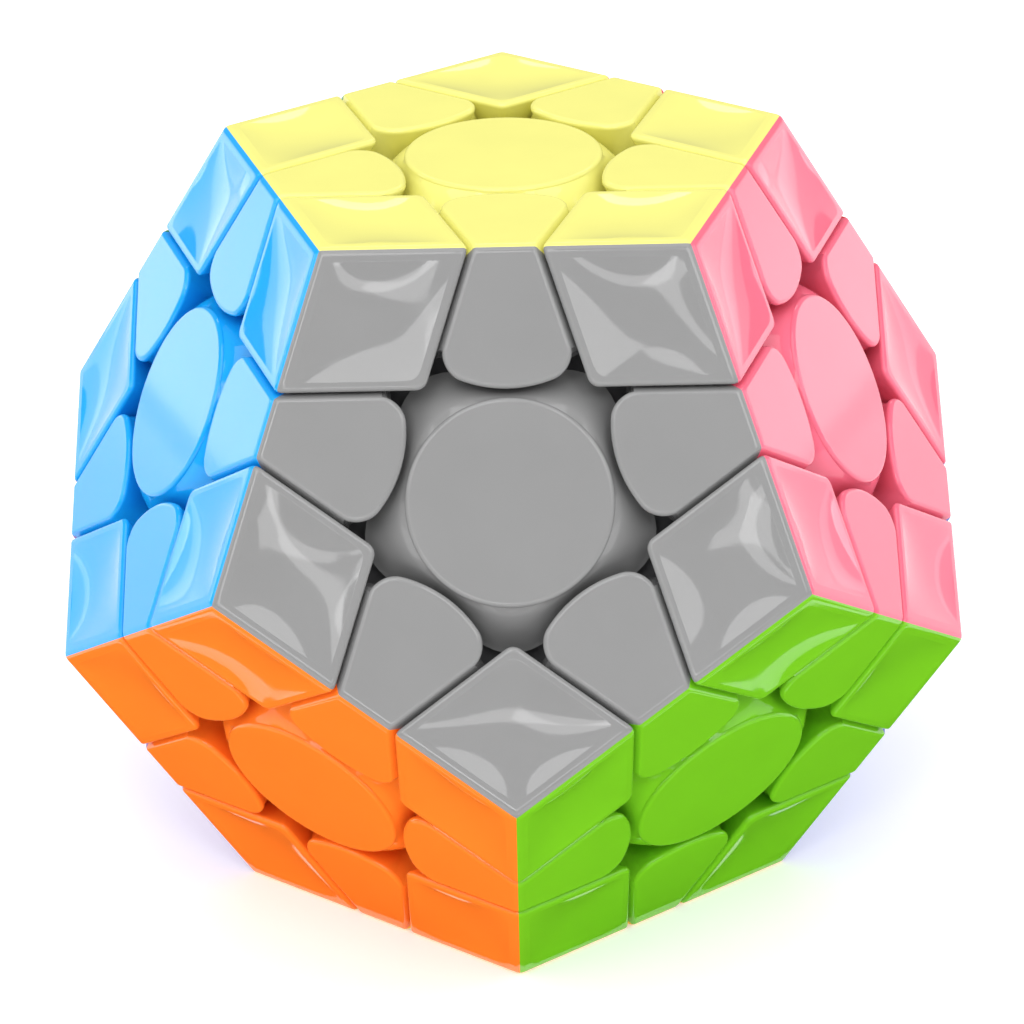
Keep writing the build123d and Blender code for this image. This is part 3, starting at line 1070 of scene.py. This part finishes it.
class PuzzleFinish(bpy.types.PropertyGroup):
    """Colours of the plastic and scales of the surfaces."""
    cream: hex_value("Cream", "Top face", "E9E57E")
    grey: hex_value("Grey", "Front face", "868686")
    pink: hex_value("Pink", "Right face", "E86B83")
    red: hex_value("Red", "Right back face", "D8242F")
    green: hex_value("Green", "Left back face", "12843C")
    sky: hex_value("Sky", "Left face", "16A0EA")
    yellow: hex_value("Yellow", "Bottom face", "FFC914")
    white: hex_value("White", "Lower back face", "F4F4F2")
    purple: hex_value("Purple", "Lower left back face", "7B3FA8")
    orange: hex_value("Orange", "Lower left face", "FB8029")
    lime: hex_value("Lime", "Lower right face", "73BE20")
    blue: hex_value("Blue", "Lower right back face", "1F4FB8")
    inner: hex_value("Inner", "Core, bases and feet", "5A5A5C")
    screw: hex_value("Screws", "Zinc-plated steel", "C4C8CC")
    spring: hex_value("Springs", "Drawn spring steel", "A8AAAE")
    floor: hex_value("Floor", "Matt opal floor", "FAFAFA")
    roughness: FloatProperty(name="Roughness", description="Of the polished shells", default=0.045)
    flow_size: length("Flow", "Scale of the wandering shade in moulded plastic", 7.0)
    scratch_size: length("Scratches", "Scale of the fine handling marks", 0.9)
    ripple_size: length("Ripple", "Scale of the polished mould's ripple", 0.8)
    ripple_depth: length("Ripple depth", "Height of the polished mould's ripple", 0.01)
    grain_size: length("Grain", "Scale of the satin grain", 0.25)
    grain_depth: length("Grain depth", "Height of the satin grain", 0.02)
    bloom_size: length("Bloom", "Scale of the mottle on zinc", 0.4)
    die_mark_size: length("Die marks", "Scale of the marks on drawn wire", 0.2)


class PuzzleStage(bpy.types.PropertyGroup):
    """Camera, floor and lights."""
    eye: FloatVectorProperty(name="Eye", description="Place of the camera", subtype="TRANSLATION",
                             unit="LENGTH", default=(0.00064, -0.30760, 0.15443))
    forward: FloatVectorProperty(name="Forward", description="Way the camera looks",
                                 subtype="DIRECTION", default=(-0.00158, 0.89249, -0.45106))
    sideways: FloatVectorProperty(name="Sideways", description="Camera's right",
                                  subtype="DIRECTION", default=(0.99980, -0.00767, -0.01869))
    lens: FloatProperty(name="Lens", description="Focal length in millimetres", default=131.2)
    floor_size: length("Floor size", "Side of the floor", 4000.0)


# ---------------------------------------------------------------- operators

class PUZZLE_OT_core(bpy.types.Operator):
    """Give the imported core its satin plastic"""
    bl_idname = "puzzle.core"
    bl_label = "Core"

    def execute(self, context):
        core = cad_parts["core"]
        core.data.materials.clear()
        core.data.materials.append(inner_finish())
        return {"FINISHED"}


class PUZZLE_OT_corner_shells(bpy.types.Operator):
    """Make the three dished shells of each of the twenty corners"""
    bl_idname = "puzzle.corner_shells"
    bl_label = "Corner shells"

    def execute(self, context):
        facet = corner_facet(context.scene.puzzle_shells)
        for trio, node, body in corner_homes():
            for index, name in enumerate(trio):
                matrix = local_to_place(FACES[name], FACES[trio[(index + 1) % 3]])
                place_piece(f"{node}_{name}_shell", facet, colour_finish(name), node, body,
                            matrix)
        return {"FINISHED"}


class PUZZLE_OT_edge_shells(bpy.types.Operator):
    """Make the two flat shells of each of the thirty edges"""
    bl_idname = "puzzle.edge_shells"
    bl_label = "Edge shells"

    def execute(self, context):
        facet = edge_facet(context.scene.puzzle_shells)
        for pair, node, body in edge_homes():
            for name, other in (pair, pair[::-1]):
                matrix = local_to_place(FACES[name], FACES[other])
                place_piece(f"edge_{'_'.join(pair)}_{name}_shell", facet, colour_finish(name),
                            node, body, matrix)
        return {"FINISHED"}


class PUZZLE_OT_feet(bpy.types.Operator):
    """Make the curved feet that hold the corners and edges under their neighbours"""
    bl_idname = "puzzle.feet"
    bl_label = "Feet"

    def execute(self, context):
        sizes = context.scene.puzzle_shells
        near, far = sizes.foot_cut + sizes.half_gap, sizes.foot_cut - sizes.half_gap
        corner = foot_mesh(unit(UP + SIDE + LEFT), [(d, near, 1) for d in (UP, SIDE, LEFT)],
                           sizes.boss_radius, sizes)
        edge = foot_mesh(unit(UP + SIDE), [(UP, near, 1), (SIDE, near, 1),
                                           (LEFT, far, -1), (RIGHT, far, -1)],
                         sizes.boss_radius, sizes)
        for trio, node, body in corner_homes():
            place_piece(f"{node}_foot", corner, inner_finish(), node, body,
                        local_to_place(FACES[trio[0]], FACES[trio[1]]))
        for pair, node, body in edge_homes():
            place_piece(f"edge_{'_'.join(pair)}_foot", edge, inner_finish(), node, body,
                        local_to_place(FACES[pair[0]], FACES[pair[1]]))
        return {"FINISHED"}


def turn_centres(part, profile, inner, lobed):
    """Turn a profile on the axis of every centre; lobed holds the tree's values for lobes."""
    sizes = bpy.context.scene.puzzle_centres
    tree, ids = turning_tree()
    for name, node, body in centre_homes():
        title = f"centre_{name}_{part}"
        material = inner_finish() if inner else colour_finish(name)
        values = {"Segments": sizes.segments, "Turn": axis_turn(name), "Finish": material, **lobed}
        mesh = run_tree(tree, ids, profile_mesh(profile, f"{part}_profile"), values, title)
        place_piece(title, mesh, material, node, body)


class PUZZLE_OT_centre_caps(bpy.types.Operator):
    """Turn the coloured cap of each centre: a flat disc on a flared, hollowed skirt"""
    bl_idname = "puzzle.centre_caps"
    bl_label = "Centre caps"

    def execute(self, context):
        sizes, shells = context.scene.puzzle_centres, context.scene.puzzle_shells
        band, lip, inset = 0.1 * MM, 0.15 * MM, 0.05 * MM
        waist_out, waist_level = 0.75 * MM, 0.5
        low = sphere_height(shells.shell_floor, sizes.skirt_radius)
        flat = sizes.disc_radius - sizes.disc_border
        shoulder = INRADIUS - sizes.disc_border
        profile = [(0, INRADIUS), (flat * 0.5, INRADIUS), (flat - band, INRADIUS)]
        profile += arc_points((flat, shoulder), sizes.disc_border, 90, 0, 6)
        # the skirt hollows from the disc's border past its waist to the lip of its lower rim
        start = np.array((sizes.disc_radius, shoulder))
        waist = np.array((sizes.disc_radius + waist_out, low + waist_level * (shoulder - low)))
        end = np.array((sizes.skirt_radius - lip, low + 2 * lip))
        profile += [tuple((1 - t)**2 * start + 2 * t * (1 - t) * waist + t**2 * end)
                    for t in np.linspace(0, 1, 13)[1:]]
        profile.append((sizes.skirt_radius, low + lip))
        profile += [(r, sphere_height(shells.shell_floor, r))
                    for r in np.linspace(sizes.skirt_radius - inset, sizes.cap_bore, 5)]
        roof = INRADIUS - shells.wall
        profile += [(sizes.cap_bore, roof), (sizes.cap_bore * 0.5, roof), (0, roof)]
        turn_centres("cap", profile, False,
                     {"Lobe": sizes.skirt_lobe, "Inner Radius": sizes.disc_radius - inset,
                      "Upper Level": shoulder, "Lower Level": low})
        return {"FINISHED"}


class PUZZLE_OT_centre_bases(bpy.types.Operator):
    """Turn the base of each centre: a column on the core's arm with a flange under the cap"""
    bl_idname = "puzzle.centre_bases"
    bl_label = "Centre bases"

    def execute(self, context):
        sizes, shells = context.scene.puzzle_centres, context.scene.puzzle_shells
        fit, ease = 0.02 * MM, 0.2 * MM
        roof = INRADIUS - shells.wall - fit
        foot = shells.foot_cut + shells.half_gap
        under = sphere_height(shells.shell_floor, sizes.cap_bore)
        hole = sizes.screw_radius + shells.gap
        shelf = sizes.spring_seat - sizes.shelf
        flange = sizes.cap_bore - fit
        column_top = sphere_height(shells.shell_floor, sizes.column_radius)
        profile = [(sizes.arm_bore, foot), (sizes.column_radius - ease, foot),
                   (sizes.column_radius, foot + ease), (sizes.column_radius, column_top),
                   (flange - ease, under), (flange, under + ease), (flange, roof - ease),
                   (flange - ease, roof), (sizes.well_radius + ease, roof),
                   (sizes.well_radius, roof - ease), (sizes.well_radius, sizes.spring_seat),
                   (hole, sizes.spring_seat), (hole, shelf), (sizes.arm_bore, shelf),
                   (sizes.arm_bore, foot)]
        turn_centres("base", profile, True, {"Lobe": 0.0, "Inner Radius": sizes.disc_radius,
                                             "Upper Level": roof, "Lower Level": foot})
        return {"FINISHED"}


def level_ring(radius, height, sides=0, around=48):
    """Closed row of points about +Z: a circle, or a polygon with a number of sides."""
    row = []
    for k in range(around):
        angle = 2 * math.pi * k / around
        scale = 1.0
        if sides:
            part = 2 * math.pi / sides
            scale = math.cos(part / 2) / math.cos(angle % part - part / 2)
        row.append(np.array([radius * scale * math.cos(angle),
                             radius * scale * math.sin(angle), height]))
    return row


class PUZZLE_OT_fasteners(bpy.types.Operator):
    """Make the screws and washers that hold the centres on the core"""
    bl_idname = "puzzle.fasteners"
    bl_label = "Screws and washers"

    def execute(self, context):
        sizes, finish = context.scene.puzzle_centres, context.scene.puzzle_finish
        ease, bevel, play = 0.25 * MM, 0.08 * MM, 0.1 * MM
        seat = sizes.spring_seat + sizes.spring_length
        under = seat + sizes.washer_thickness
        top = under + sizes.head_height
        socket = top - sizes.head_height / 2
        screw = [(0, sizes.screw_point), (sizes.screw_radius * 0.5, sizes.screw_point + ease),
                 (sizes.screw_radius, sizes.screw_point + 3 * ease), (sizes.screw_radius, under),
                 (sizes.head_radius, under), (sizes.head_radius, top - ease),
                 (sizes.head_radius - ease, top)]
        rows = [level_ring(radius, height) for radius, height in screw]
        rows += [level_ring(sizes.socket_radius, top, 6),
                 level_ring(sizes.socket_radius, socket, 6), level_ring(0, socket)]
        inner, outer = sizes.screw_radius + play, sizes.washer_radius
        washer = [(inner, seat), (outer - bevel, seat), (outer, seat + bevel),
                  (outer, under - bevel), (outer - bevel, under), (inner, under), (inner, seat)]
        skin = Skin()
        skin.patch(rows, closed=True)
        skin.patch([level_ring(radius, height) for radius, height in washer], closed=True)
        steel = plated_steel("zinc_plated_steel", finish.screw, finish)
        tree, ids = fastener_tree()
        mesh = run_tree(tree, ids, skin.sewn("screw_and_washer"), {"Finish": steel},
                        "centre_fasteners")
        place_piece("centre_fasteners", mesh, steel, "centre_screws", ROOT_BODY)
        return {"FINISHED"}


class PUZZLE_OT_springs(bpy.types.Operator):
    """Wind the springs that press the centres on to the core"""
    bl_idname = "puzzle.springs"
    bl_label = "Springs"

    def execute(self, context):
        sizes, finish = context.scene.puzzle_centres, context.scene.puzzle_finish
        play = 0.05 * MM
        steel = drawn_steel("drawn_spring_steel", finish.spring, finish)
        tree, ids = spring_tree()
        values = {"Coil Radius": sizes.washer_radius - sizes.wire_radius - play,
                  "Wire Radius": sizes.wire_radius, "Turns": sizes.spring_turns,
                  "Height": sizes.spring_length - 2 * sizes.wire_radius,
                  "Seat": sizes.spring_seat + sizes.wire_radius, "Finish": steel}
        mesh = run_tree(tree, ids, bpy.data.meshes.new("spring_source"), values, "centre_coils")
        place_piece("centre_coils", mesh, steel, "centre_springs", ROOT_BODY)
        return {"FINISHED"}


LIGHT_DISTANCE = 2.0        # from the middle of the puzzle to every light

# Front lights: name, degrees to the right of and above the camera's line of sight as seen from
# the puzzle, width and height in degrees, lean, brightness against white
FRONT_LIGHTS = (
    ("upper_left_softbox", (-15, 19), (28, 22), 20, 4.4),
    ("upper_right_softbox", (18, 15), (24, 22), -33, 4.2),
    ("lower_strip", (-2.5, -9), (25, 4.5), -2, 4.0),
    ("lower_left_strip", (-13, -1), (31, 4.5), -36, 4.0),
)

# Side, rear and overhead lights: name, azimuth from the front towards the right, elevation
SURROUNDING_LIGHTS = (
    ("left_panel", (-75, 32), (34, 30), 0, 2.0),
    ("right_panel", (75, 32), (34, 30), 0, 2.0),
    ("left_rear_panel", (-110, 12), (7, 30), -20, 4.0),
    ("right_rear_panel", (110, 12), (7, 30), 20, 4.0),
    ("rear_strip", (180, 40), (44, 7), 8, 3.0),
    ("overhead_softbox", (0, 82), (60, 44), 0, 2.0),
)

# Bounce cards that stand on the floor behind the puzzle, in the same way
CARD_DISTANCE = 0.45
BOUNCE_CARDS = (
    ("left_bounce_card", (-130, 1.5), (34, 10.5), 0, 1.4),
    ("right_bounce_card", (130, 1.5), (34, 10.5), 0, 0.8),
)

# Black flags that lie on the floor under the two lower front faces, seen only in reflections:
# nearest and farthest distance from under the puzzle's middle, in millimetres
FLAGS = ((22, 43), (49, 60), (65, 95))
FLAG_LENGTH = 110
FLAG_SIDES = (("left", -36, 0.3), ("right", 36, 0.1))   # azimuth, and lowest level above the floor
FLAG_STEP = 0.05            # from one flag's level to the next, in millimetres

FLOOR_PLAY = 0.02 * MM      # between the puzzle and the floor
WORLD_STRENGTH = 0.3
SENSOR_WIDTH = 36.0
NEAREST, FARTHEST = 0.01, 20.0      # what the camera sees, in metres


def softbox(name, way, across, distance, spread, lean, radiance):
    """Rectangular studio light, in a direction from the puzzle, that faces the puzzle.

    across is the direction of its width before it leans; spread is in degrees.
    """
    way = way.normalized()
    width = (across - way * way.dot(across)).normalized()
    turn = Matrix((width, way.cross(width), way)).transposed().to_4x4()
    light = bpy.data.lights.new(name, "AREA")
    light.shape = "RECTANGLE"
    light.size, light.size_y = (2 * distance * math.tan(math.radians(a / 2)) for a in spread)
    light.energy = radiance * math.pi * light.size * light.size_y
    new_object(name, light).matrix_world = (Matrix.Translation(way * distance) @ turn
                                            @ Matrix.Rotation(math.radians(lean), 4, "Z"))


def level_card(name, corners, level, material):
    """Flat four-sided card at a level."""
    mesh = bpy.data.meshes.new(name)
    mesh.from_pydata([(*corner, level) for corner in corners], [], [(0, 1, 2, 3)])
    mesh.materials.append(material)
    return new_object(name, mesh)


def floor_flag(name, azimuth, near, far, level):
    """Black card on the floor that shows only in reflections, as a studio flag does."""
    out = np.array([math.sin(math.radians(azimuth)), -math.cos(math.radians(azimuth))])
    across = np.array([-out[1], out[0]])
    half = FLAG_LENGTH / 2
    corners = [(out * a + across * b) * MM
               for a, b in ((near, -half), (far, -half), (far, half), (near, half))]
    flag = level_card(name, corners, level, made_once("black_felt", black_felt))
    flag.visible_camera = flag.visible_diffuse = flag.visible_shadow = False


class PUZZLE_OT_stage(bpy.types.Operator):
    """Set up the camera, the pale floor and the soft studio light"""
    bl_idname = "puzzle.stage"
    bl_label = "Stage"

    def execute(self, context):
        stage, finish = context.scene.puzzle_stage, context.scene.puzzle_finish
        forward, sideways = Vector(stage.forward).normalized(), Vector(stage.sideways).normalized()
        upward = sideways.cross(forward)
        turn = Matrix((sideways, upward, -forward)).transposed().to_4x4()
        camera = bpy.data.cameras.new("camera")
        camera.lens, camera.sensor_width = stage.lens, SENSOR_WIDTH
        camera.clip_start, camera.clip_end = NEAREST, FARTHEST
        viewer = new_object("camera", camera)
        viewer.matrix_world = Matrix.Translation(stage.eye) @ turn
        context.scene.camera = viewer
        half, low = stage.floor_size / 2, -INRADIUS - FLOOR_PLAY
        floor = level_card("floor", ((-half, -half), (half, -half), (half, half), (-half, half)),
                           low, opal_acrylic("matt_opal_acrylic", finish.floor))
        world = bpy.data.worlds.new("studio")
        world.use_nodes = True
        world.node_tree.nodes.clear()
        glow = add_node(world.node_tree, "ShaderNodeBackground",
                        {"Color": (1, 1, 1, 1), "Strength": WORLD_STRENGTH})
        add_node(world.node_tree, "ShaderNodeOutputWorld", {"Surface": glow.outputs[0]})
        context.scene.world = world
        for name, angles, spread, lean, radiance in FRONT_LIGHTS:
            right, above = (math.tan(math.radians(a)) for a in angles)
            way = sideways * right + upward * above - forward
            softbox(name, way, sideways, LIGHT_DISTANCE, spread, lean, radiance)
        for distance, lights in ((LIGHT_DISTANCE, SURROUNDING_LIGHTS),
                                 (CARD_DISTANCE, BOUNCE_CARDS)):
            for name, angles, spread, lean, radiance in lights:
                azimuth, elevation = (math.radians(a) for a in angles)
                way = Vector((math.sin(azimuth) * math.cos(elevation),
                              -math.cos(azimuth) * math.cos(elevation), math.sin(elevation)))
                across = Vector((math.cos(azimuth), math.sin(azimuth), 0))
                softbox(name, way, across, distance, spread, lean, radiance)
        for side, azimuth, lowest in FLAG_SIDES:
            for number, (near, far) in enumerate(FLAGS, 1):
                level = low + (lowest + FLAG_STEP * number) * MM
                floor_flag(f"{side}_floor_flag_{number}", azimuth, near, far, level)
        context.scene.view_settings.view_transform = "Standard"
        return {"FINISHED"}


OPERATORS = (PUZZLE_OT_core, PUZZLE_OT_corner_shells, PUZZLE_OT_edge_shells, PUZZLE_OT_feet,
             PUZZLE_OT_centre_caps, PUZZLE_OT_centre_bases, PUZZLE_OT_fasteners,
             PUZZLE_OT_springs, PUZZLE_OT_stage)


class PUZZLE_PT_panel(bpy.types.Panel):
    """Puzzle pieces, in the order in which they are made"""
    bl_idname = "PUZZLE_PT_panel"
    bl_label = "Twisty puzzle"
    bl_space_type = "VIEW_3D"
    bl_region_type = "UI"
    bl_category = "Puzzle"

    def draw(self, context):
        for operator in OPERATORS:
            self.layout.operator(operator.bl_idname)


SETTINGS = {"puzzle_shells": ShellSizes, "puzzle_centres": CentreSizes,
            "puzzle_finish": PuzzleFinish, "puzzle_stage": PuzzleStage}


def register():
    """Register the settings, the operators and the panel."""
    for name, group in SETTINGS.items():
        bpy.utils.register_class(group)
        setattr(bpy.types.Scene, name, PointerProperty(type=group))
    for kind in OPERATORS + (PUZZLE_PT_panel,):
        bpy.utils.register_class(kind)


def unregister():
    """Remove what register added."""
    for kind in (PUZZLE_PT_panel,) + OPERATORS[::-1]:
        bpy.utils.unregister_class(kind)
    for name, group in SETTINGS.items():
        delattr(bpy.types.Scene, name)
        bpy.utils.unregister_class(group)


def main():
    """Build the puzzle and its stage."""
    register()
    for operator in OPERATORS:
        getattr(bpy.ops.puzzle, operator.bl_idname.split(".")[1])()


if __name__ == "__main__":
    main()
